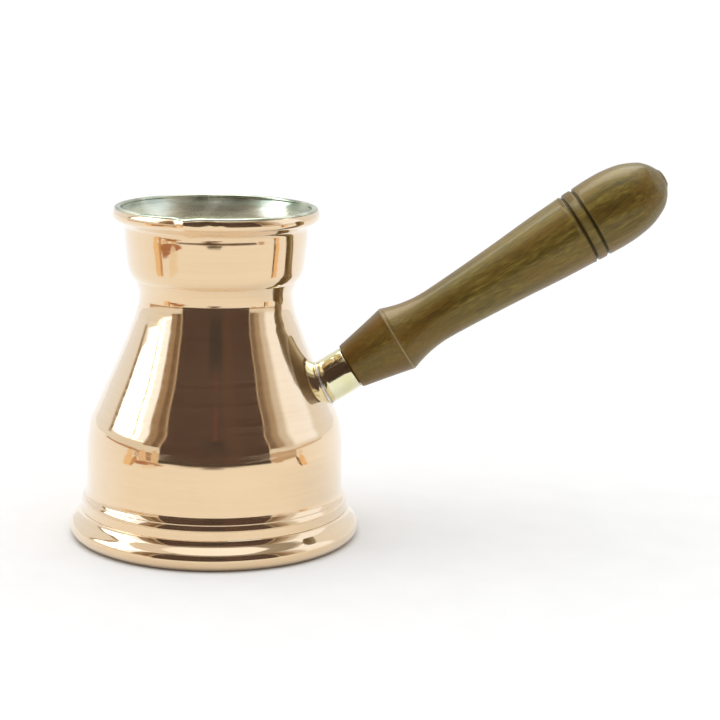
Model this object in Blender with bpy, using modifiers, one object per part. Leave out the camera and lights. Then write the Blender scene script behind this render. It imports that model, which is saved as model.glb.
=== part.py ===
"""A copper cezve: a spun pot with a tinned inside, a brazed brass ferrule and a turned wooden handle.

Metres, +Z up. The origin is on the pot's centreline, on the flat underside of its foot.
The handle rises towards +X and the pouring beak is on the -Y side.
"""
import math

import bmesh
import bpy
from mathutils import Matrix, Vector

MM = 0.001

# Driving dimensions, in millimetres.
HEIGHT = 110.0              # foot to the top of the rim
FOOT_RADIUS = 48.2          # widest ring of the pot, near the bottom
LIP_RADIUS = 33.87          # outer face of the rolled lip
SHEET = 1.2                 # copper wall
TIN = 0.4                   # tinned layer
CLEARANCE = 0.3             # gap kept between touching pieces

# The pouring beak is a small pinch in the lip, eighteen degrees past square to the handle.
BEAK_AZIMUTH = math.radians(-108.0)
BEAK_HALF_ANGLE = math.radians(13.0)
BEAK_ROOT = 101.0           # height where the pinch fades into the collar
BEAK_REACH = 1.7
BEAK_DROP = 0.3

# The handle leaves the pot's centreline at this height and slope. Distances along it start there.
HANDLE_HEIGHT = 28.3
HANDLE_SLOPE = math.radians(32.2)
FERRULE_RADIUS = 7.3
FERRULE_WALL = 1.0
FERRULE_END = 53.0
WOOD_START = FERRULE_END + CLEARANCE
WOOD_END = 174.6
STUD_RADIUS = 2.0
STUD_START = 43.6
STUD_END = 80.0
PLATE_START = 46.2
PLATE_THICKNESS = 1.2
NUT_THICKNESS = 2.0
NUT_FLATS = 7.0
SOLDER_WIDTH = 1.2
SOLDER_HEIGHT = 1.3

POT_STEPS = 40
FERRULE_STEPS = 28
WOOD_STEPS = 28
STUD_STEPS = 16

# Outer outline of the pot as (radius, height), from the lip down.
COPPER_TOP = HEIGHT - TIN - CLEARANCE
LIP_ROLL = 3.0              # radius of the lip's outer face
LIP_CENTRE = (LIP_RADIUS - LIP_ROLL, 107.6)
LIP = [(33.8, 106.9), (33.2, 106.0), (32.0, 105.0), (30.9, 104.3), (30.3, 103.7), (30.05, 103.0),
       (29.97, 102.0)]
COLLAR = [(29.97, 102.0), (29.75, 98.0), (29.2, 93.5), (28.85, 90.5), (28.3, 88.3)]
SHOULDER = [(28.3, 88.3), (27.5, 86.8), (26.95, 86.2), (26.2, 84.9), (25.6, 83.4), (25.15, 81.2)]
BELL = [(25.15, 81.2), (25.5, 77.9), (26.9, 73.0), (29.5, 66.0), (32.9, 57.8), (36.6, 49.7),
        (39.4, 43.4), (41.1, 39.2), (41.9, 34.8)]
WALL = [(41.9, 34.8), (42.25, 28.0), (42.5, 21.0), (42.73, 16.6)]
FOOT = [(42.73, 16.6), (42.98, 15.2), (43.49, 14.25), (43.99, 13.3), (44.2, 12.45), (44.33, 11.0),
        (44.43, 9.5), (44.75, 8.3), (45.3, 7.6)]
BEAD_RADIUS = 3.6           # rounding of the widest ring, tangent to the ground
BEAD_CENTRE = (FOOT_RADIUS - BEAD_RADIUS, BEAD_RADIUS)
CORNER_CENTRE = (FOOT_RADIUS - SHEET - 2.0, 3.6)
CORNER_RADIUS = 2.0

# Inner face of the copper at the lip, from the rim down.
LIP_INSIDE = [(31.75, 108.9), (31.2, 107.9), (30.25, 106.3), (29.45, 104.7), (28.95, 103.2), (28.76, 102.0)]

# Outline of the wooden handle as (radius, distance along its axis), from the tip down.
WOOD_TIP = [(0.0, WOOD_END), (2.4, 174.3), (3.4, 173.7), (4.5, 173.0)]
WOOD_DOME = [(4.5, 173.0), (6.5, 171.6), (8.8, 169.2), (11.3, 163.8), (12.5, 157.8), (12.75, 152.0),
             (12.5, 146.3)]
WOOD_TAPER = [(12.25, 141.1), (11.6, 129.0), (10.5, 115.5), (9.4, 99.5), (8.78, 86.5), (8.95, 82.2),
              (9.75, 77.3), (10.8, 73.9), (11.4, 72.1)]
WOOD_RIDGE = [(11.4, 72.1), (11.5, 71.3), (11.35, 70.4)]
WOOD_CONE = [(11.35, 70.4), (10.4, 65.7), (8.9, 59.0), (7.85, WOOD_START)]
GROOVES = (145.7, 141.7)
GROOVE_HALF_WIDTH = 0.6
GROOVE_DEPTH = 0.7
TENON_RADIUS = FERRULE_RADIUS - FERRULE_WALL - CLEARANCE
TENON_START = PLATE_START + PLATE_THICKNESS + CLEARANCE


def clear_scene():
    for old in list(bpy.data.objects):
        bpy.data.objects.remove(old, do_unlink=True)


def make_collection(name):
    collection = bpy.data.collections.new(name)
    bpy.context.scene.collection.children.link(collection)
    return collection


def make_material(name, colour, metallic, roughness):
    material = bpy.data.materials.new(name)
    material.use_nodes = True
    shader = material.node_tree.nodes["Principled BSDF"]
    shader.inputs["Base Color"].default_value = (*colour, 1.0)
    shader.inputs["Metallic"].default_value = metallic
    shader.inputs["Roughness"].default_value = roughness
    return material


# ---- outlines ----

def smooth_through(points, per_span):
    """Points of a curve that passes smoothly through the given ones."""
    spots = [Vector(point) for point in points]
    last = len(spots) - 1
    curve = [spots[0]]
    for index in range(last):
        start, end = spots[index], spots[index + 1]
        before, after = spots[max(index - 1, 0)], spots[min(index + 2, last)]
        span = (end - start).length
        leave = (end - before) / ((end - start).length + (start - before).length) * span
        arrive = (after - start) / ((after - end).length + (end - start).length) * span
        for step in range(1, per_span + 1):
            t = step / per_span
            curve.append(start * (2 * t**3 - 3 * t**2 + 1) + leave * (t**3 - 2 * t**2 + t)
                         + end * (3 * t**2 - 2 * t**3) + arrive * (t**3 - t**2))
    return [tuple(spot) for spot in curve]


def arc(centre, radius, first, last, count):
    """Points on a circle, from one angle in degrees to another."""
    angles = [math.radians(first + (last - first) * step / count) for step in range(count + 1)]
    return [(centre[0] + radius * math.cos(angle), centre[1] + radius * math.sin(angle)) for angle in angles]


def chain(*stretches):
    """Joins stretches of an outline and leaves out the points that they share."""
    joined = []
    for stretch in stretches:
        for point in stretch:
            if not joined or math.dist(joined[-1], point) > 0.01:
                joined.append(point)
    return joined


def moved_in(points, depth):
    """The outline moved sideways by depth, towards the inside of a shape that it runs down."""
    result = []
    for index, (radius, height) in enumerate(points):
        before = points[max(index - 1, 0)]
        after = points[min(index + 1, len(points) - 1)]
        along = Vector(after) - Vector(before)
        along.normalize()
        result.append((radius + along.y * depth, height - along.x * depth))
    return result


def pot_outside():
    """The pot's outer side, from the edge of the tin to the bottom of the foot."""
    roll = arc(LIP_CENTRE, LIP_ROLL, 30, 0, 2)
    bead = arc(BEAD_CENTRE, BEAD_RADIUS, 61, -90, 9)
    return chain(roll, LIP, COLLAR, SHOULDER, BELL, WALL, FOOT, bead)


def pot_inside(depth):
    """A layer parallel to the pot's outer side, from the lip to the centre of the floor."""
    side = chain(COLLAR[1:4], SHOULDER[::2], BELL, WALL[1:], FOOT[1::2], arc(BEAD_CENTRE, BEAD_RADIUS, 61, 11, 2))
    corner = arc(CORNER_CENTRE, CORNER_RADIUS + SHEET - depth, 0, -90, 3)
    return chain(moved_in(LIP_INSIDE, depth - SHEET), moved_in(side, depth), corner, [(0.0, corner[-1][1])])


# ---- objects ----

def outline_object(name, points, collection, closed=False):
    """A mesh of edges only, in the XZ plane, from (radius, height) points in millimetres."""
    mesh = bpy.data.meshes.new(name)
    spots = [(radius * MM, 0.0, height * MM) for radius, height in points]
    edges = [(index, index + 1) for index in range(len(spots) - 1)]
    if closed:
        edges.append((len(spots) - 1, 0))
    mesh.from_pydata(spots, edges, [])
    thing = bpy.data.objects.new(name, mesh)
    collection.objects.link(thing)
    return thing


def turned(name, points, steps, collection, closed=False):
    """A turned solid: the outline swept once round the local Z axis."""
    thing = outline_object(name, points, collection, closed)
    screw = thing.modifiers.new("turn", "SCREW")
    screw.steps = steps
    screw.render_steps = steps
    screw.use_merge_vertices = True
    screw.merge_threshold = 0.00001
    screw.use_smooth_shade = True
    return thing


def finish(thing, material, parent=None):
    thing.data.materials.append(material)
    if parent:
        thing.parent = parent
    return thing


def settled(thing):
    """Replaces an object's mesh by its evaluated one, so that its points can be moved."""
    view = bpy.context.evaluated_depsgraph_get()
    mesh = bpy.data.meshes.new_from_object(thing.evaluated_get(view))
    thing.modifiers.clear()
    thing.data = mesh
    mesh.set_sharp_from_angle(angle=math.radians(50.0))
    return thing


def beak_shift(spot):
    """How far the beak's fold moves a point of the pot, in metres."""
    around = math.atan2(spot.y, spot.x) - BEAK_AZIMUTH
    around = abs((around + math.pi) % math.tau - math.pi) / BEAK_HALF_ANGLE
    rise = (spot.z / MM - BEAK_ROOT) / (HEIGHT - BEAK_ROOT)
    if around >= 1.0 or rise <= 0.0:
        return Vector((0.0, 0.0, 0.0))
    strength = (0.5 + 0.5 * math.cos(math.pi * around)) * rise * rise * (3.0 - 2.0 * rise)
    outward = Vector((math.cos(BEAK_AZIMUTH), math.sin(BEAK_AZIMUTH), 0.0)) * BEAK_REACH
    return (outward + Vector((0.0, 0.0, -BEAK_DROP))) * strength * MM


def fold_beak(thing):
    for vertex in thing.data.vertices:
        vertex.co += beak_shift(vertex.co)


def cut(thing, cutter, operation="DIFFERENCE"):
    boolean = thing.modifiers.new(cutter.name, "BOOLEAN")
    boolean.operation = operation
    boolean.solver = "EXACT"
    boolean.object = cutter


def make_handle_axis(collection):
    """An empty on the pot's centreline whose local Z runs along the handle."""
    axis = bpy.data.objects.new("handle_axis", None)
    axis.matrix_world = (Matrix.Translation((0.0, 0.0, HANDLE_HEIGHT * MM))
                         @ Matrix.Rotation(math.pi / 2 - HANDLE_SLOPE, 4, "Y"))
    collection.objects.link(axis)
    return axis


def make_pot_guide(name, growth, collection):
    """A solid as wide as the bell of the pot plus a margin, for fitting the ferrule to it."""
    side = moved_in(smooth_through(BELL, 2), -growth)
    guide = turned(name, [(0.0, side[0][1]), *side, (0.0, side[-1][1])], POT_STEPS, collection)
    guide.hide_render = True
    guide.display_type = "WIRE"
    return guide


def make_copper_body(collection, material):
    top = [(31.95, 109.2), (32.3, COPPER_TOP), (33.1, COPPER_TOP)]
    outline = chain(pot_inside(SHEET)[::-1], top, pot_outside(), [(0.0, 0.0)])
    body = settled(turned("copper_body", outline, POT_STEPS, collection))
    fold_beak(body)
    return finish(body, material)


def make_tin_lining(collection, material):
    back = SHEET + CLEARANCE
    front = back + TIN
    under_height = COPPER_TOP + CLEARANCE
    over = [(31.3, 109.75), (31.75, HEIGHT), (32.65, HEIGHT), (33.0, 109.8)]
    under = [(33.0, under_height), (32.1, under_height), (31.6, 109.4)]
    outline = chain(pot_inside(front)[::-1], over, under, pot_inside(back))
    lining = settled(turned("tin_lining", outline, POT_STEPS, collection))
    fold_beak(lining)
    return finish(lining, material)


def make_ferrule(collection, material, axis, clearance_guide):
    outer, inner = FERRULE_RADIUS, FERRULE_RADIUS - FERRULE_WALL
    buried = STUD_START - 8.0
    outline = [(outer - 0.2, FERRULE_END), (outer, FERRULE_END - 0.2), (outer, buried),
               (inner, buried), (inner, FERRULE_END)]
    ferrule = turned("handle_ferrule", outline, FERRULE_STEPS, collection, closed=True)
    cut(ferrule, clearance_guide)
    return finish(ferrule, material, axis)


def make_solder(collection, material, axis, clearance_guide, extent_guide):
    """The ring of hard solder between the ferrule and the pot."""
    inner = FERRULE_RADIUS + CLEARANCE
    outer = inner + SOLDER_WIDTH
    outline = [(outer, STUD_START + 4.0), (outer, STUD_START - 8.0), (inner, STUD_START - 8.0),
               (inner, STUD_START + 4.0)]
    solder = turned("solder_fillet", outline, FERRULE_STEPS, collection, closed=True)
    cut(solder, extent_guide, "INTERSECT")
    cut(solder, clearance_guide)
    return finish(solder, material, axis)


def groove(middle, radius):
    """A V-shaped groove across the outline of the wood."""
    return [(radius, middle + GROOVE_HALF_WIDTH), (radius - GROOVE_DEPTH, middle),
            (radius, middle - GROOVE_HALF_WIDTH)]


def make_wood_handle(collection, material, axis):
    bore = STUD_RADIUS + CLEARANCE
    bore_end = STUD_END + 1.0
    grooves = groove(GROOVES[0], 12.45) + groove(GROOVES[1], 12.3)
    fitting = [(TENON_RADIUS, WOOD_START), (TENON_RADIUS, TENON_START), (bore, TENON_START),
               (bore, bore_end), (0.0, bore_end + bore)]
    outline = chain(WOOD_TIP, WOOD_DOME, grooves, WOOD_TAPER, WOOD_RIDGE, WOOD_CONE, fitting)
    wood = turned("wood_handle", outline, WOOD_STEPS, collection)
    return finish(wood, material, axis)


def make_handle_stud(collection, material, axis):
    chamfer = 0.4
    outline = [(0.0, STUD_END), (STUD_RADIUS - chamfer, STUD_END), (STUD_RADIUS, STUD_END - chamfer),
               (STUD_RADIUS, STUD_START + chamfer), (STUD_RADIUS - chamfer, STUD_START), (0.0, STUD_START)]
    return finish(turned("handle_stud", outline, STUD_STEPS, collection), material, axis)


def make_ferrule_plate(collection, material, axis):
    """The washer-shaped plate inside the ferrule that the stud goes through."""
    outer, inner = FERRULE_RADIUS - FERRULE_WALL - CLEARANCE, STUD_RADIUS + CLEARANCE
    top, bottom = PLATE_START + PLATE_THICKNESS, PLATE_START
    outline = [(outer, top), (outer, bottom), (inner, bottom), (inner, top)]
    return finish(turned("ferrule_plate", outline, FERRULE_STEPS, collection, closed=True), material, axis)


def make_stud_nut(collection, material, axis):
    """A thin hexagon nut on the stud, behind the plate."""
    mesh = bpy.data.meshes.new("stud_nut")
    shape = bmesh.new()
    bmesh.ops.create_cone(shape, cap_ends=True, segments=6, radius1=NUT_FLATS / math.sqrt(3.0) * MM,
                          radius2=NUT_FLATS / math.sqrt(3.0) * MM, depth=NUT_THICKNESS * MM)
    shape.to_mesh(mesh)
    shape.free()
    nut = bpy.data.objects.new("stud_nut", mesh)
    collection.objects.link(nut)
    nut.location.z = (PLATE_START - CLEARANCE - NUT_THICKNESS / 2) * MM
    return finish(nut, material, axis)


def make_nut_bore(collection, axis):
    radius = STUD_RADIUS + CLEARANCE
    bore = turned("nut_bore", [(0.0, PLATE_START), (radius, PLATE_START), (radius, STUD_START - 2.0),
                               (0.0, STUD_START - 2.0)], STUD_STEPS, collection)
    bore.parent = axis
    bore.hide_render = True
    bore.display_type = "WIRE"
    return bore


def main():
    clear_scene()
    parts = make_collection("cezve")
    cutters = make_collection("cutters")
    copper = make_material("polished_copper", (0.86, 0.56, 0.38), 1.0, 0.12)
    tin = make_material("wiped_tin", (0.66, 0.66, 0.60), 1.0, 0.32)
    brass = make_material("polished_brass", (0.86, 0.72, 0.42), 1.0, 0.14)
    solder = make_material("silver_solder", (0.72, 0.70, 0.66), 1.0, 0.35)
    wood = make_material("stained_wood", (0.13, 0.085, 0.035), 0.0, 0.32)
    steel = make_material("zinc_steel", (0.60, 0.61, 0.62), 1.0, 0.35)
    clearance_guide = make_pot_guide("pot_clearance", CLEARANCE, cutters)
    extent_guide = make_pot_guide("solder_extent", CLEARANCE + SOLDER_HEIGHT, cutters)

    axis = make_handle_axis(parts)
    make_copper_body(parts, copper)
    make_tin_lining(parts, tin)
    make_ferrule(parts, brass, axis, clearance_guide)
    make_solder(parts, solder, axis, clearance_guide, extent_guide)
    make_wood_handle(parts, wood, axis)
    make_ferrule_plate(parts, brass, axis)
    make_handle_stud(parts, steel, axis)
    nut = make_stud_nut(parts, steel, axis)
    cut(nut, make_nut_bore(cutters, axis))


main()
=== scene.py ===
"""The looks of a copper cezve: a polished pot, tinned inside, with a brass ferrule and a wooden handle."""
import math

import bpy
from mathutils import Matrix, Vector, noise


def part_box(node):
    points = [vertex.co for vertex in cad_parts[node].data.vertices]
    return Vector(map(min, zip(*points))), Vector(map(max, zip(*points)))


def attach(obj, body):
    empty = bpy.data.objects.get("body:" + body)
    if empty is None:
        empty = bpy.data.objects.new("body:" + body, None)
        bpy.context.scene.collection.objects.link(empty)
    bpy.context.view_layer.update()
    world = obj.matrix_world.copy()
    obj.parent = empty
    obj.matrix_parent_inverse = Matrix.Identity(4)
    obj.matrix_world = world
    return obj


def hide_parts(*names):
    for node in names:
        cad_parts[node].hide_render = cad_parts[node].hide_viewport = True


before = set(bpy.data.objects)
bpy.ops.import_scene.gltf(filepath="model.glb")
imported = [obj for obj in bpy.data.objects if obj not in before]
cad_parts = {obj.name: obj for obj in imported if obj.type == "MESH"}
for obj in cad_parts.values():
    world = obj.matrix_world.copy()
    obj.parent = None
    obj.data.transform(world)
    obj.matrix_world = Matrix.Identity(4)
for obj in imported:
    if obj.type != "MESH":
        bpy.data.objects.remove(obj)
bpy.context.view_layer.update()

MM = 0.001

# Sizes in millimetres, read from the frame where it gives them.
BODY_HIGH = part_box("copper_body")[1] / MM
LINING_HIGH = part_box("tin_lining")[1] / MM
FOOT_RADIUS = BODY_HIGH.x
HEIGHT = LINING_HIGH.z
SHEET = 1.2
LINING_DEPTH = 1.9          # outer face of the copper to the face of the tin
SEAM = 0.02                 # keeps two metals that touch from sharing a face
POT_STEPS = 288             # points in each ring of the pot

# The tinned top of the rim: a rounding on its inner side and a wider one on its outer side.
RIM_INNER_RADIUS = 0.75
RIM_INNER_CENTRE = (31.85, HEIGHT - RIM_INNER_RADIUS)
RIM_OUTER_RADIUS = 1.35
RIM_OUTER_CENTRE = (32.13, HEIGHT - RIM_OUTER_RADIUS)
TIN_EDGE_ANGLE = 41.0       # where the tin ends on the roll of the lip, in degrees above level

# Outer outline of the pot as (radius, height), from the edge of the tin down.
LIP_ROLL = 3.0
LIP_CENTRE = (30.87, 107.35)
LIP = [(33.87, 107.35), (33.77, 106.7), (33.25, 105.95), (32.1, 105.15), (30.95, 104.3), (30.35, 103.65),
       (30.03, 102.9), (29.97, 102.0)]
COLLAR = [(29.97, 102.0), (29.957, 100.8), (29.76, 98.0), (29.25, 93.5), (28.9, 90.5), (28.45, 88.7),
          (27.9, 87.5), (27.35, 86.7), (26.85, 86.15)]
NECK = [(26.85, 86.15), (26.2, 84.8), (25.6, 83.3), (25.2, 81.8), (25.15, 80.8), (25.22, 79.6),
        (25.6, 77.4), (26.9, 73.0)]
BELL = [(26.9, 73.0), (29.5, 66.0), (32.9, 57.8), (36.6, 49.7), (39.4, 43.4), (41.2, 39.2),
        (42.0, 34.8), (42.4, 31.3), (42.5, 28.0), (42.6, 21.0), (42.73, 16.4)]

# The foot: a step turned out and back again, an upright band, a fillet and a round bead on the ground.
# An angle says, in degrees, how far round an arc starts or ends from level.
STEP_RADIUS = 4.2
STEP_UPPER = (46.93, 16.66)
STEP_LOWER = (40.08, 11.78)
STEP_START = 4.0
STEP_MIDDLE = 36.0
STEP_END = 8.5
BAND = [(44.23, 12.4), (44.31, 11.5), (44.34, 10.5), (44.43, 9.5)]
FILLET_CENTRE = (48.19, 10.06)
FILLET_RADIUS = 3.8
FILLET_START = 8.0
FILLET_END = 42.0
BEAD_RADIUS = 3.5
BEAD_CENTRE = (FOOT_RADIUS - BEAD_RADIUS, BEAD_RADIUS)
BEAD_STEPS = 18
BEAD_STEPS_INSIDE = 2       # the inner corner takes over from the bead after these
CORNER_RADIUS = 2.0
CORNER_CENTRE = (FOOT_RADIUS - SHEET - CORNER_RADIUS, 3.6)
FLAT_RINGS = (0.75, 0.5, 0.25, 0.0)     # shares of the flat bottom's radius

# Inner face of the copper at the lip, from the rim down.
LIP_INSIDE = [(31.75, 108.7), (31.2, 107.7), (30.3, 106.2), (29.5, 104.6), (28.97, 103.2), (28.77, 102.0)]

# How far the metal is out of true: in broad waves, in small dents, and in level ripples from spinning.
WAVE_DEPTH = 0.06
DENT_DEPTH = 0.016
RIPPLE_DEPTH = 0.006
CREASE_HEIGHT = 40.0        # where the bell meets the wall, and the dents are deepest
CREASE_SPREAD = 7.0
CREASE_DENT_DEPTH = 0.035   # added there
TRUE_RADIUS = 5.0           # inside this radius the floor is left true

# Nicks knocked into the underside of the lip: azimuth, height, size and depth.
NICKS = [(math.radians(-94.5), 106.7, 2.3, 0.62), (math.radians(-87.5), 106.3, 1.4, 0.48)]

# The pouring beak is a narrow pinch on a wide swell, whose reaches add up. Angles are to either side.
BEAK_AZIMUTH = math.radians(-106.5)
BEAK_ROOT = 102.0
SWELL_ANGLE = math.radians(9.0)
SWELL_REACH = 0.45
SWELL_DROP = 0.25
PINCH_ANGLE = math.radians(5.0)
PINCH_REACH = 1.3
PINCH_BLUNTNESS = 0.25      # rounds the pinch's point
PINCH_POWER = 1.3

# The handle leaves the pot's centreline at this height and slope. Distances along it start there.
HANDLE_HEIGHT = 28.3
HANDLE_SLOPE = math.radians(32.2)
FERRULE_RADIUS = 7.3
FERRULE_WALL = 1.0
FERRULE_END = 53.0
FERRULE_ROUNDING = 0.35
FERRULE_STEPS = 96
CONTACT_SEARCH = (30.0, FERRULE_END)    # from inside the pot to outside it
HALVINGS = 40
SOLDER_WIDTH = 0.42
SOLDER_HEIGHT = 0.45
SOLDER_UNEVENNESS = 0.3     # share of its width and height
SOLDER_BULGE = 0.1
SOLDER_GAP = 0.01
SOLDER_ROOT = 0.3           # how deep its inner edge lies in the pot's wall
SOLDER_ROWS = 9
SOLDER_STEPS = 144
WOOD_STEPS = 192

# Outline of the wooden handle as (radius, distance along its axis), from the tip down.
WOOD_START = 53.3
WOOD_END = 174.6
WOOD_NUB = [(0.0, WOOD_END), (1.3, WOOD_END - 0.05), (2.5, WOOD_END - 0.28), (3.2, WOOD_END - 0.65),
            (3.55, WOOD_END - 1.0), (4.4, 173.15)]
WOOD_DOME = [(4.4, 173.15), (6.5, 171.75), (8.8, 169.3), (11.35, 163.8), (12.5, 157.8), (12.75, 152.0),
             (12.6, 147.0)]
WOOD_BAND = [(12.5, 144.8), (12.45, 142.6)]
WOOD_TAPER = [(12.28, 140.8), (11.6, 129.0), (10.5, 115.5), (9.4, 99.5), (8.78, 86.5), (8.95, 82.2),
              (9.75, 77.3), (10.75, 73.7), (11.35, 72.0)]
RIDGE_PLACE = 71.1
RIDGE_CENTRE_RADIUS = 11.0
RIDGE_ROUNDING = 0.5
RIDGE_HALF_WIDTH = 0.4      # from the middle of the ridge to the centre of each rounding
WOOD_CONE = [(10.4, 65.9), (9.0, 59.0), (8.0, 53.9)]
WOOD_FIT = [(7.8, WOOD_START + 0.1), (7.6, WOOD_START), (6.0, WOOD_START), (6.0, 48.0), (0.0, 48.0)]
GROOVES = (145.7, 141.7)
GROOVE_RADII = (12.52, 12.38)   # of the wood beside each
GROOVE_HALF_WIDTH = 0.62
GROOVE_DEPTH = 0.75
GROOVE_EASE = (0.25, 0.06)  # width and depth of the rounding at each edge

HANDLE_FRAME = (Matrix.Translation((0.0, 0.0, HANDLE_HEIGHT * MM))
                @ Matrix.Rotation(math.pi / 2 - HANDLE_SLOPE, 4, "Y"))


# ---- outlines ----

def smooth_through(points, per_span):
    """Points of a curve that passes smoothly through the given ones."""
    spots = [Vector(point) for point in points]
    last = len(spots) - 1
    curve = [spots[0]]
    for index in range(last):
        start, end = spots[index], spots[index + 1]
        before, after = spots[max(index - 1, 0)], spots[min(index + 2, last)]
        span = (end - start).length
        leave = (end - before) / ((end - start).length + (start - before).length) * span
        arrive = (after - start) / ((after - end).length + (end - start).length) * span
        for step in range(1, per_span + 1):
            t = step / per_span
            curve.append(start * (2 * t**3 - 3 * t**2 + 1) + leave * (t**3 - 2 * t**2 + t)
                         + end * (3 * t**2 - 2 * t**3) + arrive * (t**3 - t**2))
    return [tuple(spot) for spot in curve]


def arc(centre, radius, first, last, count):
    """Points on a circle, from one angle in degrees to another."""
    angles = [math.radians(first + (last - first) * step / count) for step in range(count + 1)]
    return [(centre[0] + radius * math.cos(angle), centre[1] + radius * math.sin(angle)) for angle in angles]


def chain(*stretches):
    """Joins stretches of an outline and leaves out the points that they share."""
    joined = []
    for stretch in stretches:
        for point in stretch:
            if not joined or math.dist(joined[-1], point) > 0.002:
                joined.append(point)
    return joined


def moved_in(points, depth):
    """The outline moved sideways by depth, towards the inside of a shape that it runs down."""
    result = []
    for index, (radius, height) in enumerate(points):
        before = points[max(index - 1, 0)]
        after = points[min(index + 1, len(points) - 1)]
        along = Vector(after) - Vector(before)
        along.normalize()
        result.append((radius + along.y * depth, height - along.x * depth))
    return result


def foot_side():
    upper = arc(STEP_UPPER, STEP_RADIUS, 180 + STEP_START, 180 + STEP_MIDDLE, 8)
    lower = arc(STEP_LOWER, STEP_RADIUS, STEP_MIDDLE, STEP_END, 8)
    fillet = arc(FILLET_CENTRE, FILLET_RADIUS, 180 + FILLET_START, 180 + FILLET_END, 8)
    bead = arc(BEAD_CENTRE, BEAD_RADIUS, FILLET_END, -90, BEAD_STEPS)
    slope = [((fillet[-1][0] + bead[0][0]) / 2, (fillet[-1][1] + bead[0][1]) / 2)]
    return chain(upper, lower, smooth_through(BAND, 4), fillet, slope, bead)


def pot_side():
    roll = arc(LIP_CENTRE, LIP_ROLL, TIN_EDGE_ANGLE, 0, 8)
    return chain(roll, smooth_through(LIP, 5), smooth_through(COLLAR, 6), smooth_through(NECK, 6),
                 smooth_through(BELL, 9), foot_side())


PROFILE = pot_side()


def inner_face(depth):
    """A layer parallel to the pot's outer side, from the rim to the centre of the floor."""
    foot = foot_side()[:-(BEAD_STEPS - BEAD_STEPS_INSIDE)]
    side = chain(smooth_through(COLLAR, 3), smooth_through(NECK, 3), smooth_through(BELL, 4), foot)
    lip = moved_in(smooth_through(LIP_INSIDE, 4), depth - SHEET)
    corner = arc(CORNER_CENTRE, CORNER_RADIUS + SHEET - depth, 0, -90, 8)
    floor = [(corner[-1][0] * share, corner[-1][1]) for share in FLAT_RINGS]
    return chain(lip, moved_in(side, depth)[1:], corner, floor)


def bell_radius(height):
    """Outer radius of the pot at a height between the foot and the neck."""
    for (upper_radius, upper), (lower_radius, lower) in zip(PROFILE, PROFILE[1:]):
        if lower <= height <= upper:
            return lower_radius + (upper_radius - lower_radius) * (height - lower) / (upper - lower)
    raise ValueError("height is off the pot's side")


# ---- meshes ----

def new_object(name, points, faces, material):
    """An object in the scene, from points in metres."""
    mesh = bpy.data.meshes.new(name)
    mesh.from_pydata(points, [], faces)
    mesh.materials.append(material)
    made = bpy.data.objects.new(name, mesh)
    bpy.context.scene.collection.objects.link(made)
    return made


def new_piece(name, points, faces, material):
    """A smooth-shaded piece of the cezve, from points in millimetres."""
    piece = new_object(name, [Vector(point) * MM for point in points], faces, material)
    piece.data.update()
    piece.data.shade_smooth()
    return piece


def along_handle(radius, angle, distance):
    """A point beside the handle's axis, in the pot's coordinates."""
    beside = Vector((radius * math.cos(angle), radius * math.sin(angle), distance))
    return HANDLE_FRAME @ (beside * MM) / MM


def ring_faces(rows, steps):
    """Faces of a closed ring: rows of points round it, with the last row joined to the first."""
    faces = []
    for row in range(rows):
        below, above = row * steps, (row + 1) % rows * steps
        for step in range(steps):
            ahead = (step + 1) % steps
            faces.append([below + step, below + ahead, above + ahead, above + step])
    return faces


def turned(name, outline, steps, material, place=None, shift=None):
    """A turned solid. Its outline runs down the outer side, and closes or has both ends on the axis."""
    points = []
    rings = []
    for radius, height in outline:
        if radius < 1e-6:
            rings.append([len(points)])
            points.append(Vector((0.0, 0.0, height)))
            continue
        rings.append(list(range(len(points), len(points) + steps)))
        for step in range(steps):
            angle = math.tau * step / steps
            points.append(Vector((radius * math.cos(angle), radius * math.sin(angle), height)))
    faces = []
    pairs = list(zip(rings, rings[1:]))
    if len(rings[0]) > 1:
        pairs.append((rings[-1], rings[0]))
    for upper, lower in pairs:
        for step in range(steps):
            ahead = (step + 1) % steps
            corners = [upper[step % len(upper)], lower[step % len(lower)],
                       lower[ahead % len(lower)], upper[ahead % len(upper)]]
            faces.append(list(dict.fromkeys(corners)))
    if shift:
        points = [point + shift(point) for point in points]
    if place:
        points = [place @ (point * MM) / MM for point in points]
    return new_piece(name, points, faces, material)


def beak_shift(point):
    """How far the beak's fold moves a point of the pot."""
    around = math.atan2(point.y, point.x) - BEAK_AZIMUTH
    around = abs((around + math.pi) % math.tau - math.pi)
    rise = (point.z - BEAK_ROOT) / (HEIGHT - BEAK_ROOT)
    if around >= SWELL_ANGLE or rise <= 0.0:
        return Vector((0.0, 0.0, 0.0))
    rise = rise * rise * (3.0 - 2.0 * rise)
    swell = 0.5 + 0.5 * math.cos(math.pi * around / SWELL_ANGLE)
    away = math.hypot(around / PINCH_ANGLE, PINCH_BLUNTNESS) - PINCH_BLUNTNESS
    pinch = max(0.0, 1.0 - away) ** PINCH_POWER
    outward = Vector((math.cos(BEAK_AZIMUTH), math.sin(BEAK_AZIMUTH), 0.0))
    fold = outward * (SWELL_REACH * swell + PINCH_REACH * pinch)
    return (fold + Vector((0.0, 0.0, -SWELL_DROP * swell))) * rise


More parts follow.
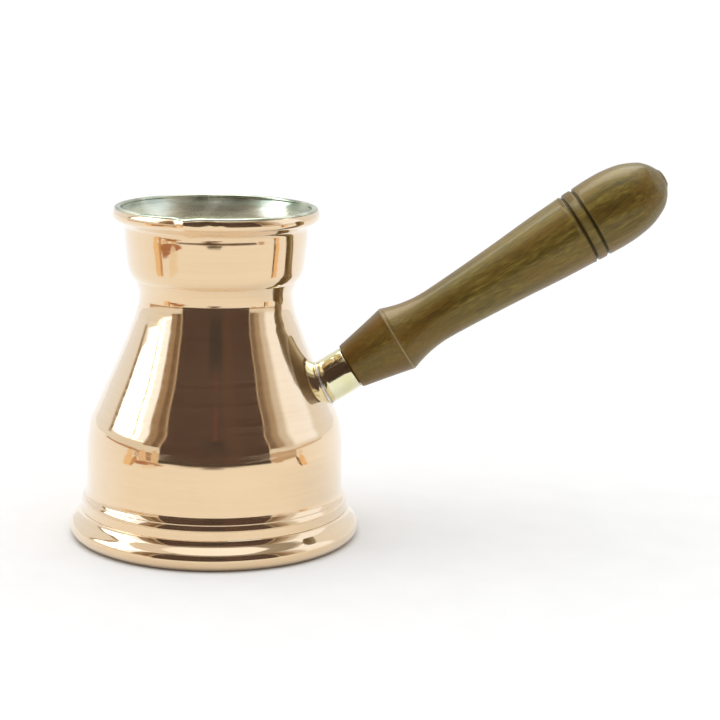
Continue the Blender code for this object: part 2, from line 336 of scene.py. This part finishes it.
def hand_work(point):
    """The slight unevenness of a spun and hand-finished pot, plus the beak."""
    flat = Vector((point.x, point.y, 0.0))
    if flat.length < TRUE_RADIUS:
        return Vector((0.0, 0.0, 0.0))
    wave = noise.noise(Vector((point.x, point.y, point.z * 1.6)) * 0.045)
    dent = noise.noise(Vector((point.x + 40.0, point.y, point.z)) * 0.12)
    ripple = noise.noise(Vector((point.x * 0.25, point.y * 0.25, point.z * 1.3)) * 0.35)
    crease = math.exp(-((point.z - CREASE_HEIGHT) / CREASE_SPREAD) ** 2)
    moved = WAVE_DEPTH * wave + (DENT_DEPTH + CREASE_DENT_DEPTH * crease) * dent + RIPPLE_DEPTH * ripple
    for azimuth, height, size, depth in NICKS:
        centre = Vector((math.cos(azimuth), math.sin(azimuth), 0.0)) * flat.length
        away = math.hypot((flat - centre).length, point.z - height) / size
        moved -= depth * math.exp(-away * away)
    return flat.normalized() * moved + beak_shift(point)


# ---- materials ----

class NodeTree:
    """Adds nodes to the node tree of a material or a world."""

    def __init__(self, owner):
        owner.use_nodes = True
        self.tree = owner.node_tree

    def put(self, socket, value):
        if isinstance(value, bpy.types.NodeSocket):
            self.tree.links.new(value, socket)
        else:
            socket.default_value = value

    def fill(self, node, sockets):
        """Links or sets a node's inputs by name, with _ for a space."""
        for name, value in sockets.items():
            self.put(node.inputs[name.replace("_", " ")], value)

    def node(self, kind, settings=None, **sockets):
        made = self.tree.nodes.new(kind)
        for name, value in (settings or {}).items():
            setattr(made, name, value)
        self.fill(made, sockets)
        return made

    def maths(self, operation, first, second=0.0):
        made = self.node("ShaderNodeMath", {"operation": operation})
        self.put(made.inputs[0], first)
        self.put(made.inputs[1], second)
        return made.outputs[0]

    def mix(self, share, first, second):
        """A mix of two colours, which are inputs 6 and 7 of the node and its output 2."""
        made = self.node("ShaderNodeMix", {"data_type": "RGBA"})
        self.put(made.inputs[0], share)
        self.put(made.inputs[6], first)
        self.put(made.inputs[7], second)
        return made.outputs[2]

    def remap(self, value, low, high, out_low=0.0, out_high=1.0, kind="LINEAR"):
        return self.node("ShaderNodeMapRange", {"interpolation_type": kind}, Value=value, From_Min=low,
                         From_Max=high, To_Min=out_low, To_Max=out_high).outputs[0]


class Shader(NodeTree):
    """Builds one material's node tree."""

    def __init__(self, name):
        self.material = bpy.data.materials.new(name)
        super().__init__(self.material)
        self.surface = self.tree.nodes["Principled BSDF"]

    def shade(self, **sockets):
        """Links or sets the surface's inputs, and gives the material."""
        self.fill(self.surface, sockets)
        return self.material

    def position(self, scale, turned_to_handle=False):
        """Object coordinates in metres, times a scale for each axis. Z can run along the handle instead."""
        spot = self.node("ShaderNodeTexCoord").outputs["Object"]
        if turned_to_handle:
            tilt = (0.0, math.pi / 2 - HANDLE_SLOPE, 0.0)
            spot = self.node("ShaderNodeMapping", {"vector_type": "TEXTURE"}, Vector=spot,
                             Location=(0.0, 0.0, HANDLE_HEIGHT * MM), Rotation=tilt).outputs[0]
        return self.node("ShaderNodeMapping", Vector=spot, Scale=scale).outputs[0]

    def noise(self, spot, scale=1.0, detail=3.0, roughness=0.5, distortion=0.0):
        return self.node("ShaderNodeTexNoise", Vector=spot, Scale=scale, Detail=detail,
                         Roughness=roughness, Distortion=distortion).outputs["Fac"]

    def ramp(self, value, *stops):
        """A colour ramp through stops of a place and a colour."""
        made = self.node("ShaderNodeValToRGB", Fac=value)
        elements = made.color_ramp.elements
        while len(elements) < len(stops):
            elements.new(0.5)
        for element, (place, colour) in zip(elements, stops):
            element.position = place
            element.color = (*colour, 1.0)
        return made.outputs["Color"]

    def blend(self, first, second, share):
        """A mix of two numbers: share is how much of it the second one makes up."""
        return self.maths("ADD", self.maths("MULTIPLY", first, 1.0 - share),
                          self.maths("MULTIPLY", second, share))

    def bump(self, height, distance, **sockets):
        made = self.node("ShaderNodeBump", Height=height, Distance=distance, Strength=1.0, **sockets)
        return made.outputs[0]


def level_marks(shader):
    """Fine marks that run level round a turned metal surface."""
    pitch, depth = 0.45 * MM, 0.0022 * MM
    fine = shader.noise(shader.position((30.0, 30.0, 1.0 / pitch)), detail=2.0)
    broad = shader.noise(shader.position((18.0, 18.0, 0.28 / pitch)), detail=2.0)
    return shader.bump(shader.maths("ADD", fine, shader.maths("MULTIPLY", broad, 1.2)), depth)


def copper():
    """Polished copper: paler at a grazing angle, with a faint haze from polishing."""
    s = Shader("polished_copper")
    cloud = s.noise(s.position((22.0, 22.0, 30.0)), detail=4.0)
    streak = s.noise(s.position((12.0, 12.0, 900.0)))
    brushed = s.noise(s.position((50.0, 50.0, 2600.0)), detail=2.0)
    colour = s.ramp(s.blend(cloud, streak, 0.4), (0.35, (0.80, 0.590, 0.365)), (0.65, (0.855, 0.645, 0.41)))
    facing = s.node("ShaderNodeLayerWeight", Blend=0.5).outputs["Facing"]
    colour = s.mix(s.remap(facing, 0.28, 0.95, 0.0, 0.62), colour, (0.93, 0.87, 0.77, 1.0))
    around = s.node("ShaderNodeTangent", {"direction_type": "RADIAL", "axis": "Z"}).outputs[0]
    return s.shade(Base_Color=colour, Metallic=s.remap(brushed, 0.3, 0.7, 0.968, 0.932),
                   Roughness=s.remap(streak, 0.35, 0.7, 0.04, 0.10), Normal=level_marks(s),
                   Anisotropic=0.35, Tangent=around, Coat_Weight=0.5, Coat_Roughness=0.03, Coat_IOR=1.5)


def tin():
    """Tin wiped on by hand: grey and mottled at the lip, yellower and duller further down. The darker grey
    at the lip and the lighter yellow further down are painted reflection.
    """
    s = Shader("wiped_tin")
    patches = s.noise(s.position((70.0, 70.0, 150.0)), detail=4.0, distortion=0.8)
    wipe = s.noise(s.position((26.0, 26.0, 700.0)))
    lumps = s.noise(s.position((90.0, 90.0, 200.0)))
    marks = s.noise(s.position((30.0, 30.0, 1500.0)), detail=2.0)
    tone = s.blend(patches, wipe, 0.3)
    # The mottle is the tin's own. The darker colours at the lip and the lighter, yellower ones further down
    # are painted reflection.
    lip_tone_painted_dark = s.ramp(tone, (0.34, (0.25, 0.30, 0.22)), (0.5, (0.44, 0.47, 0.36)),
                    (0.66, (0.76, 0.77, 0.62)))
    lower_tone_painted_light = s.ramp(tone, (0.34, (0.66, 0.65, 0.48)), (0.66, (0.96, 0.94, 0.74)))
    height = s.node("ShaderNodeSeparateXYZ", Vector=s.position((1.0, 1.0, 1.0))).outputs["Z"]
    uneven_height = s.maths("ADD", height, s.maths("MULTIPLY", patches, 4.0 * MM))
    deep = s.remap(uneven_height, 109.5 * MM, 105.0 * MM)
    # Painted reflection: the colour goes from the darker one at the lip to the lighter, yellower one further
    # down.
    return s.shade(Base_Color=s.mix(deep, lip_tone_painted_dark, lower_tone_painted_light),
                   Metallic=s.remap(deep, 0.0, 1.0, 0.96, 0.64),
                   Roughness=s.remap(patches, 0.3, 0.7, 0.16, 0.34),
                   Normal=s.bump(marks, 0.006 * MM, Normal=s.bump(lumps, 0.14 * MM)))


def brass():
    """Polished brass, with fine lines round the ferrule."""
    s = Shader("polished_brass")
    lines = s.noise(s.position((60.0, 60.0, 1600.0), turned_to_handle=True), detail=2.0)
    cloud = s.noise(s.position((120.0, 120.0, 120.0)), detail=4.0)
    return s.shade(Base_Color=s.ramp(cloud, (0.35, (0.80, 0.76, 0.46)), (0.65, (0.86, 0.84, 0.60))),
                   Metallic=1.0, Roughness=s.remap(cloud, 0.3, 0.7, 0.05, 0.13),
                   Normal=s.bump(lines, 0.0015 * MM))


def silver_solder():
    s = Shader("silver_solder")
    lumps = s.noise(s.position((500.0, 500.0, 500.0)))
    return s.shade(Base_Color=s.ramp(lumps, (0.35, (0.58, 0.52, 0.44)), (0.65, (0.86, 0.84, 0.80))),
                   Metallic=1.0, Roughness=s.remap(lumps, 0.3, 0.7, 0.14, 0.38),
                   Normal=s.bump(lumps, 0.12 * MM))


def zinc_steel():
    s = Shader("zinc_steel")
    marks = s.noise(s.position((900.0, 900.0, 900.0)), detail=2.0)
    return s.shade(Base_Color=s.ramp(marks, (0.3, (0.5, 0.51, 0.52)), (0.7, (0.66, 0.67, 0.68))),
                   Metallic=1.0, Roughness=s.remap(marks, 0.3, 0.7, 0.28, 0.45))


def lacquered_wood():
    """Stained hardwood under a thin amber lacquer, with burnt grooves and a lighter line round the ridge."""
    s = Shader("lacquered_wood")
    in_metres = s.position((1.0, 1.0, 1.0), turned_to_handle=True)
    distance = s.node("ShaderNodeSeparateXYZ", Vector=in_metres).outputs["Z"]

    def grain(across, along, **settings):
        """Noise that is stretched along the handle."""
        return s.noise(s.position((across, across, along), turned_to_handle=True), **settings)

    def lined(looks, place, inner, outer, strength, colour):
        """A line round the handle, which fades out between two distances from its place."""
        away = s.maths("ABSOLUTE", s.maths("SUBTRACT", distance, place * MM))
        return s.mix(s.remap(away, inner * MM, outer * MM, strength, 0.0), looks, colour)

    blotch = grain(90.0, 40.0)
    streak = grain(420.0, 28.0, detail=4.0, distortion=0.5)
    fibre = grain(2100.0, 230.0, detail=2.0)
    pores = grain(2600.0, 260.0, detail=1.0)
    tone = s.blend(streak, fibre, 0.5)
    stain = s.ramp(tone, (0.34, (0.030, 0.014, 0.002)), (0.5, (0.097, 0.056, 0.006)),
                   (0.66, (0.190, 0.128, 0.023)))
    near_pot = s.remap(distance, RIDGE_PLACE * MM, 94.0 * MM, 0.15, 0.0)
    redness = s.remap(s.maths("ADD", blotch, near_pot), 0.47, 0.70, 0.0, 0.75)
    looks = s.mix(redness, stain, (0.128, 0.050, 0.006, 1.0))
    looks = s.mix(s.remap(pores, 0.58, 0.70, 0.0, 0.6), looks, (0.032, 0.017, 0.005, 1.0))
    for place in GROOVES:
        looks = lined(looks, place, 0.35, 0.85, 0.9, (0.016, 0.008, 0.003, 1.0))
    # A lighter line round the ridge.
    looks = lined(looks, RIDGE_PLACE, 0.1, 0.35, 0.55, (0.34, 0.28, 0.17, 1.0))

    height = s.maths("ADD", s.maths("MULTIPLY", fibre, 0.6), s.maths("MULTIPLY", pores, -0.4))
    return s.shade(Base_Color=looks, Roughness=s.remap(tone, 0.3, 0.7, 0.40, 0.52),
                   Normal=s.bump(height, 0.04 * MM), Specular_IOR_Level=0.95,
                   Specular_Tint=(1.0, 0.86, 0.30, 1.0), Coat_Weight=0.28, Coat_Roughness=0.07,
                   Coat_IOR=1.5, Coat_Normal=s.bump(grain(260.0, 60.0), 0.02 * MM))


def floor_white():
    s = Shader("floor_white")
    speck = s.noise(s.position((60.0, 60.0, 60.0)), detail=2.0)
    return s.shade(Base_Color=s.ramp(speck, (0.3, (0.785, 0.785, 0.785)), (0.7, (0.805, 0.805, 0.805))),
                   Roughness=0.6, Specular_IOR_Level=0.0)


# ---- the object ----

def make_copper(material):
    inside = inner_face(SHEET)[::-1]
    top = [(inside[-1][0], PROFILE[0][1])]
    under = [(PROFILE[-1][0] * share, 0.0) for share in FLAT_RINGS]
    outline = chain(inside, top, PROFILE, under)
    return turned("copper_pot", outline, POT_STEPS, material, shift=hand_work)


def make_tin(material):
    rim = (arc(RIM_INNER_CENTRE, RIM_INNER_RADIUS, 180, 90, 8)
           + arc(RIM_OUTER_CENTRE, RIM_OUTER_RADIUS, 90, TIN_EDGE_ANGLE, 8))
    back = inner_face(SHEET + SEAM)
    under_height = PROFILE[0][1] + SEAM
    under_rim = [(PROFILE[0][0], under_height), (back[0][0], under_height)]
    outline = chain(inner_face(LINING_DEPTH)[::-1], rim, under_rim, back)
    return turned("tin_coat", outline, POT_STEPS, material, shift=hand_work)


def contact_distance(radius, angle):
    """Distance along the handle's axis where a line beside it meets the pot's side, found by halving."""
    near, far = CONTACT_SEARCH
    for _ in range(HALVINGS):
        middle = (near + far) / 2
        spot = along_handle(radius, angle, middle)
        if math.hypot(spot.x, spot.y) < bell_radius(spot.z):
            near = middle
        else:
            far = middle
    return near


def make_ferrule(material):
    """A tube whose near end is cut to the curve of the pot."""
    outer, inner = FERRULE_RADIUS, FERRULE_RADIUS - FERRULE_WALL
    straight_end = FERRULE_END - FERRULE_ROUNDING
    rim = arc((outer - FERRULE_ROUNDING, straight_end), FERRULE_ROUNDING, 30, 90, 3)
    # Each row has a radius, and lies at a share of the way from the pot to a distance along the handle.
    section = [(outer, straight_end, share) for share in (0.0, 0.25, 0.5, 0.75, 1.0)]
    section += [(radius, distance, 1.0) for radius, distance in rim]
    section += [(inner, FERRULE_END, 1.0), (inner, FERRULE_END, 0.0)]
    points = []
    for radius, end, share in section:
        for step in range(FERRULE_STEPS):
            angle = math.tau * step / FERRULE_STEPS
            start = contact_distance(radius, angle) + SEAM
            points.append(along_handle(radius, angle, start + (end - start) * share))
    return new_piece("brass_ferrule", points, ring_faces(len(section), FERRULE_STEPS), material)


def make_solder(material):
    """A thin lumpy bead between the ferrule and the pot, with its inner edge sunk in the pot's wall."""
    angles = [math.tau * step / SOLDER_STEPS for step in range(SOLDER_STEPS)]
    points = []
    for row in range(SOLDER_ROWS + 1):
        share = row / SOLDER_ROWS
        for angle in angles:
            place = Vector((math.cos(angle) * 3.0, math.sin(angle) * 3.0, 4.0))
            lump = 1.0 + SOLDER_UNEVENNESS * noise.noise(place)
            radius = FERRULE_RADIUS + SOLDER_GAP + SOLDER_WIDTH * lump * (1.0 - share)
            lift = (SOLDER_HEIGHT * lump * (1.0 - math.sqrt(1.0 - share ** 2))
                    + SOLDER_BULGE * math.sin(math.pi * share))
            points.append(along_handle(radius, angle, contact_distance(radius, angle) + lift))
    for angle in angles:
        root = contact_distance(FERRULE_RADIUS, angle) - SOLDER_ROOT
        points.append(along_handle(FERRULE_RADIUS, angle, root))
    return new_piece("solder_bead", points, ring_faces(SOLDER_ROWS + 2, SOLDER_STEPS), material)


def groove(middle, radius):
    """A rounded groove across the outline of the wood."""
    width, drop = GROOVE_EASE
    upper = [(GROOVE_HALF_WIDTH + width, 0.0), (GROOVE_HALF_WIDTH, drop),
             (GROOVE_HALF_WIDTH / 2, GROOVE_DEPTH / 2)]
    lower = [(-away, depth) for away, depth in reversed(upper)]
    return [(radius - depth, middle + away) for away, depth in (*upper, (0.0, GROOVE_DEPTH), *lower)]


def make_handle(material):
    first, second = [groove(middle, radius) for middle, radius in zip(GROOVES, GROOVE_RADII)]
    far, near = RIDGE_PLACE + RIDGE_HALF_WIDTH, RIDGE_PLACE - RIDGE_HALF_WIDTH
    ridge = (arc((RIDGE_CENTRE_RADIUS, far), RIDGE_ROUNDING, 60, 0, 4)
             + arc((RIDGE_CENTRE_RADIUS, near), RIDGE_ROUNDING, 0, -40, 4))
    outline = chain(smooth_through(WOOD_NUB, 4), smooth_through(WOOD_DOME, 8), smooth_through(first, 4),
                    WOOD_BAND, smooth_through(second, 4), smooth_through(WOOD_TAPER, 9), ridge,
                    smooth_through([ridge[-1], *WOOD_CONE], 6), WOOD_FIT)
    return turned("turned_handle", outline, WOOD_STEPS, material, place=HANDLE_FRAME)


def dress(piece, slot, *nodes):
    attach(piece, "root")
    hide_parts(*nodes)


def make_object():
    brass_look = brass()
    steel_look = zinc_steel()
    dress(make_copper(copper()), "copper", "copper_body")
    dress(make_tin(tin()), "tin", "tin_lining")
    dress(make_ferrule(brass_look), "brass", "handle_ferrule")
    dress(make_solder(silver_solder()), "solder", "solder_fillet")
    dress(make_handle(lacquered_wood()), "wood", "wood_handle")
    for node, look in (("ferrule_plate", brass_look), ("handle_stud", steel_look), ("stud_nut", steel_look)):
        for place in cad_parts[node].material_slots:
            place.material = look


# ---- the studio ----

FLOOR_REACH = 60.0          # metres to each side, so that its edges are out of sight


def make_floor():
    reach = FLOOR_REACH
    corners = [(-reach, -reach, 0.0), (reach, -reach, 0.0), (reach, reach, 0.0), (-reach, reach, 0.0)]
    new_object("floor", corners, [(0, 1, 2, 3)], floor_white())


# Cards that only reflections see, for the things that lie or stand round the pot. Each has a colour and two
# edges, the near or lower one first. An edge has a first and a last azimuth in degrees, a distance in metres
# and a height in metres.
GROUND = 0.002              # clear of the floor
CARD_STEP = 5.0             # degrees
CARD_ENDS = 0.35            # how much of its depth a card has at its ends, as its second edge is bowed
CARDS = [
    ("front_ground", (0.055, 0.036, 0.03), (-50, 50, 0.70, GROUND), (-50, 50, 30.0, GROUND)),
    ("left_ground", (0.48, 0.30, 0.18), (-66, -50, 0.78, GROUND), (-66, -50, 30.0, GROUND)),
    ("far_left_ground", (0.58, 0.40, 0.27), (-114, -66, 1.0, GROUND), (-114, -66, 30.0, GROUND)),
    ("right_ground", (0.60, 0.46, 0.34), (50, 76, 0.80, GROUND), (50, 76, 30.0, GROUND)),
    ("far_right_ground", (0.72, 0.60, 0.48), (76, 112, 1.2, GROUND), (76, 112, 30.0, GROUND)),
    ("front_blot", (0.10, 0.08, 0.06), (-9, 5, 0.42, GROUND), (-13, 9, 0.60, GROUND)),
    ("front_line", (0.16, 0.12, 0.09), (-10, 26, 0.61, GROUND), (-12, 30, 0.635, GROUND)),
    ("front_edge", (0.60, 0.47, 0.36), (-48, 48, 0.63, GROUND), (-48, 48, 0.70, GROUND)),
    ("left_strip", (1.0, 0.74, 0.46), (-80, -73.5, 0.20, GROUND), (-83, -74.5, 0.95, GROUND)),
    ("left_strip_core", (0.66, 0.37, 0.19), (-73.5, -71.5, 0.21, GROUND), (-75, -70, 0.95, GROUND)),
    ("left_wedge", (0.46, 0.21, 0.10), (-69, -64, 0.30, GROUND), (-72, -42, 0.62, GROUND)),
    ("left_drip", (0.99, 0.91, 0.78), (-62, -57, 0.21, GROUND), (-60, -48, 0.45, GROUND)),
    ("left_post", (0.90, 0.68, 0.48), (-69, -60, 0.60, 0.0), (-69, -60, 0.60, 0.045)),
    ("left_cloth", (0.85, 0.68, 0.48), (-56, -49, 0.60, 0.0), (-56, -49, 0.60, 0.065)),
    ("right_cloth", (0.62, 0.46, 0.32), (52, 60, 0.60, 0.0), (52, 60, 0.60, 0.04)),
    ("right_strip_core", (0.22, 0.13, 0.06), (74.5, 76, 0.20, GROUND), (74.0, 77.0, 0.95, GROUND)),
    ("right_strip", (0.98, 0.68, 0.40), (76, 81.5, 0.20, GROUND), (77, 83, 0.95, GROUND)),
]


def round_the_pot(azimuth, distance, height):
    """A point in metres, from an azimuth in degrees that is 0 at the front."""
    angle = math.radians(azimuth)
    return (math.sin(angle) * distance, -math.cos(angle) * distance, height)


def card_points(near, far, steps):
    """Pairs of points along a card's two edges."""
    points = []
    for step in range(steps + 1):
        share = step / steps
        bow = CARD_ENDS + (1.0 - CARD_ENDS) * math.sin(math.pi * share)
        distance = near[2] + (far[2] - near[2]) * bow
        height = near[3] + (far[3] - near[3]) * bow
        points.append(round_the_pot(near[0] + (near[1] - near[0]) * share, near[2], near[3]))
        points.append(round_the_pot(far[0] + (far[1] - far[0]) * share, distance, height))
    return points


def make_cards():
    for name, colour, near, far in CARDS:
        steps = max(8, round((near[1] - near[0]) / CARD_STEP))
        faces = [(2 * step, 2 * step + 1, 2 * step + 3, 2 * step + 2) for step in range(steps)]
        glow = Shader(name).shade(Base_Color=(0.0, 0.0, 0.0, 1.0), Roughness=1.0, Specular_IOR_Level=0.0,
                                  Emission_Color=(*colour, 1.0), Emission_Strength=1.0)
        card = new_object(name, card_points(near, far, steps), faces, glow)
        card.visible_camera = False
        card.visible_diffuse = False
        card.visible_shadow = False


# The room that the pot reflects: an even white, with these patches painted over it in this order. Each has
# its brightness as a colour, its span of azimuth and of elevation and the softness of its edges. All three
# are in degrees, and azimuth is 0 at the front and grows to the right.
ALL_ROUND = (-180, 180)
ROOM_LEVEL = 0.9
BRIGHTEST = 5.0             # the colours are stored as shares of this
PATCHES = [
    ("back_light", (4.6, 4.7, 4.8), ALL_ROUND, (46, 90), 8.0),
    ("sky", (0.36, 0.33, 0.30), (-118, 150), (48, 90), 3.0),
    ("left_sky", (0.86, 0.84, 0.82), (-118, -58), (48, 68), 4.0),
    ("overhead", (1.20, 1.28, 1.42), (-118, 150), (65.5, 90), 2.0),
    ("left_window", (4.2, 4.5, 5.0), (-111, -64), (14, 50), 2.2),
    ("left_fold", (0.95, 0.90, 0.84), (-86, -83), (14, 44), 2.0),
    ("left_window_side", (1.30, 1.45, 1.75), (-79, -66), (14, 50), 4.0),
    ("left_edge", (0.36, 0.28, 0.19), (-116, -111), (9, 46), 2.4),
    ("left_curtain", (0.38, 0.28, 0.19), (-68, -50), (8, 50), 2.5),
    ("left_seam", (0.20, 0.13, 0.08), (-59, -53), (8, 50), 1.6),
    ("right_curtain", (0.22, 0.16, 0.11), (50, 61), (5, 50), 2.0),
    ("right_shade", (0.44, 0.35, 0.27), (58, 69), (5, 50), 6.0),
    ("right_haze", (0.74, 0.72, 0.70), (66, 78), (3, 50), 6.0),
    ("right_window", (1.14, 1.24, 1.45), (76, 108), (4, 50), 8.0),
    ("front", (0.072, 0.040, 0.033), (-50, 50), (-3, 50), 0.7),
    ("front_warm", (0.085, 0.046, 0.036), (8, 24), (-3, 50), 5.0),
    ("front_dark", (0.040, 0.026, 0.023), (-9, 9), (20, 33), 4.0),
    ("front_red", (0.125, 0.045, 0.04), (-2.0, 2.0), (33.6, 36.2), 0.9),
    ("front_low", (0.060, 0.038, 0.032), (-12, 12), (5, 20), 3.0),
    ("left_light_line", (0.62, 0.52, 0.42), (-51.2, -50.0), (3, 50), 0.5),
    ("right_light_line", (0.62, 0.52, 0.42), (50.0, 51.2), (3, 50), 0.5),
]

# The light on everything that isn't a reflection: soft, and mostly from overhead.
SOFT_STRENGTH = 2.75
SOFT_LOW = 0.14             # share of it from low down
SOFT_SPAN = (20.0, 85.0)    # elevations in degrees, between which it rises to its whole strength


def grey(level):
    return (level, level, level, 1.0)


def within(sky, value, span, softness):
    """1 inside a span of angles and 0 outside it, with soft edges."""
    half = softness / 2
    rising = sky.remap(value, span[0] - half, span[0] + half, kind="SMOOTHSTEP")
    falling = sky.remap(value, span[1] + half, span[1] - half, kind="SMOOTHSTEP")
    return sky.maths("MULTIPLY", rising, falling)


def painted_room(sky, azimuth, elevation):
    """The room's colour in each direction, as a share of the brightest."""
    room = grey(ROOM_LEVEL / BRIGHTEST)
    for _, colour, across, up, softness in PATCHES:
        share = within(sky, elevation, up, softness)
        if across != ALL_ROUND:
            share = sky.maths("MULTIPLY", share, within(sky, azimuth, across, softness))
        room = sky.mix(share, room, (*(level / BRIGHTEST for level in colour), 1.0))
    return room


def chosen(sky, share, first, second):
    """The first of two lights where share is 0, and the second where it is 1."""
    made = sky.node("ShaderNodeMixShader", Fac=share)
    sky.put(made.inputs[1], first.outputs[0])
    sky.put(made.inputs[2], second.outputs[0])
    return made


def make_world():
    """The painted room for reflections, soft light for the rest, and a white backdrop for the camera."""
    world = bpy.data.worlds.new("studio")
    bpy.context.scene.world = world
    sky = NodeTree(world)
    direction = sky.node("ShaderNodeTexCoord").outputs["Generated"]
    axes = sky.node("ShaderNodeSeparateXYZ", Vector=direction).outputs
    turn = sky.maths("ARCTAN2", axes["X"], sky.maths("MULTIPLY", axes["Y"], -1.0))
    azimuth = sky.maths("MULTIPLY", turn, math.degrees(1.0))
    elevation = sky.maths("MULTIPLY", sky.maths("ARCSINE", axes["Z"]), math.degrees(1.0))
    overhead = sky.mix(sky.remap(elevation, *SOFT_SPAN, kind="SMOOTHSTEP"), grey(SOFT_LOW), grey(1.0))
    room = sky.node("ShaderNodeBackground", Color=painted_room(sky, azimuth, elevation), Strength=BRIGHTEST)
    soft_light = sky.node("ShaderNodeBackground", Color=overhead, Strength=SOFT_STRENGTH)
    backdrop = sky.node("ShaderNodeBackground", Color=grey(1.0), Strength=1.0)
    ray = sky.node("ShaderNodeLightPath").outputs
    light = chosen(sky, ray["Is Glossy Ray"], soft_light, room)
    light = chosen(sky, ray["Is Camera Ray"], light, backdrop)
    sky.put(sky.tree.nodes["World Output"].inputs["Surface"], light.outputs[0])


# The camera is at the front, a little above the rim, turned slightly to the handle's side. Its angles are in
# radians, and its lens and sensor in millimetres.
CAMERA_PLACE = (0.0, -0.6231, 0.1877)
CAMERA_YAW = 0.0769
CAMERA_PITCH = 0.2033
CAMERA_ROLL = 0.0215
CAMERA_LENS = 95.6
CAMERA_SENSOR = 36.0


def make_camera():
    data = bpy.data.cameras.new("camera")
    data.sensor_width = CAMERA_SENSOR
    data.lens = CAMERA_LENS
    data.clip_start = 0.01
    camera = bpy.data.objects.new("camera", data)
    bpy.context.scene.collection.objects.link(camera)
    turn = Matrix.Rotation(-CAMERA_YAW, 4, "Z")
    tilt = Matrix.Rotation(math.pi / 2 - CAMERA_PITCH, 4, "X")
    roll = Matrix.Rotation(CAMERA_ROLL, 4, "Z")
    camera.matrix_world = Matrix.Translation(CAMERA_PLACE) @ (turn @ tilt @ roll)
    bpy.context.scene.camera = camera


make_camera()
make_object()
make_floor()
make_cards()
make_world()
bpy.context.scene.view_settings.view_transform = "Standard"
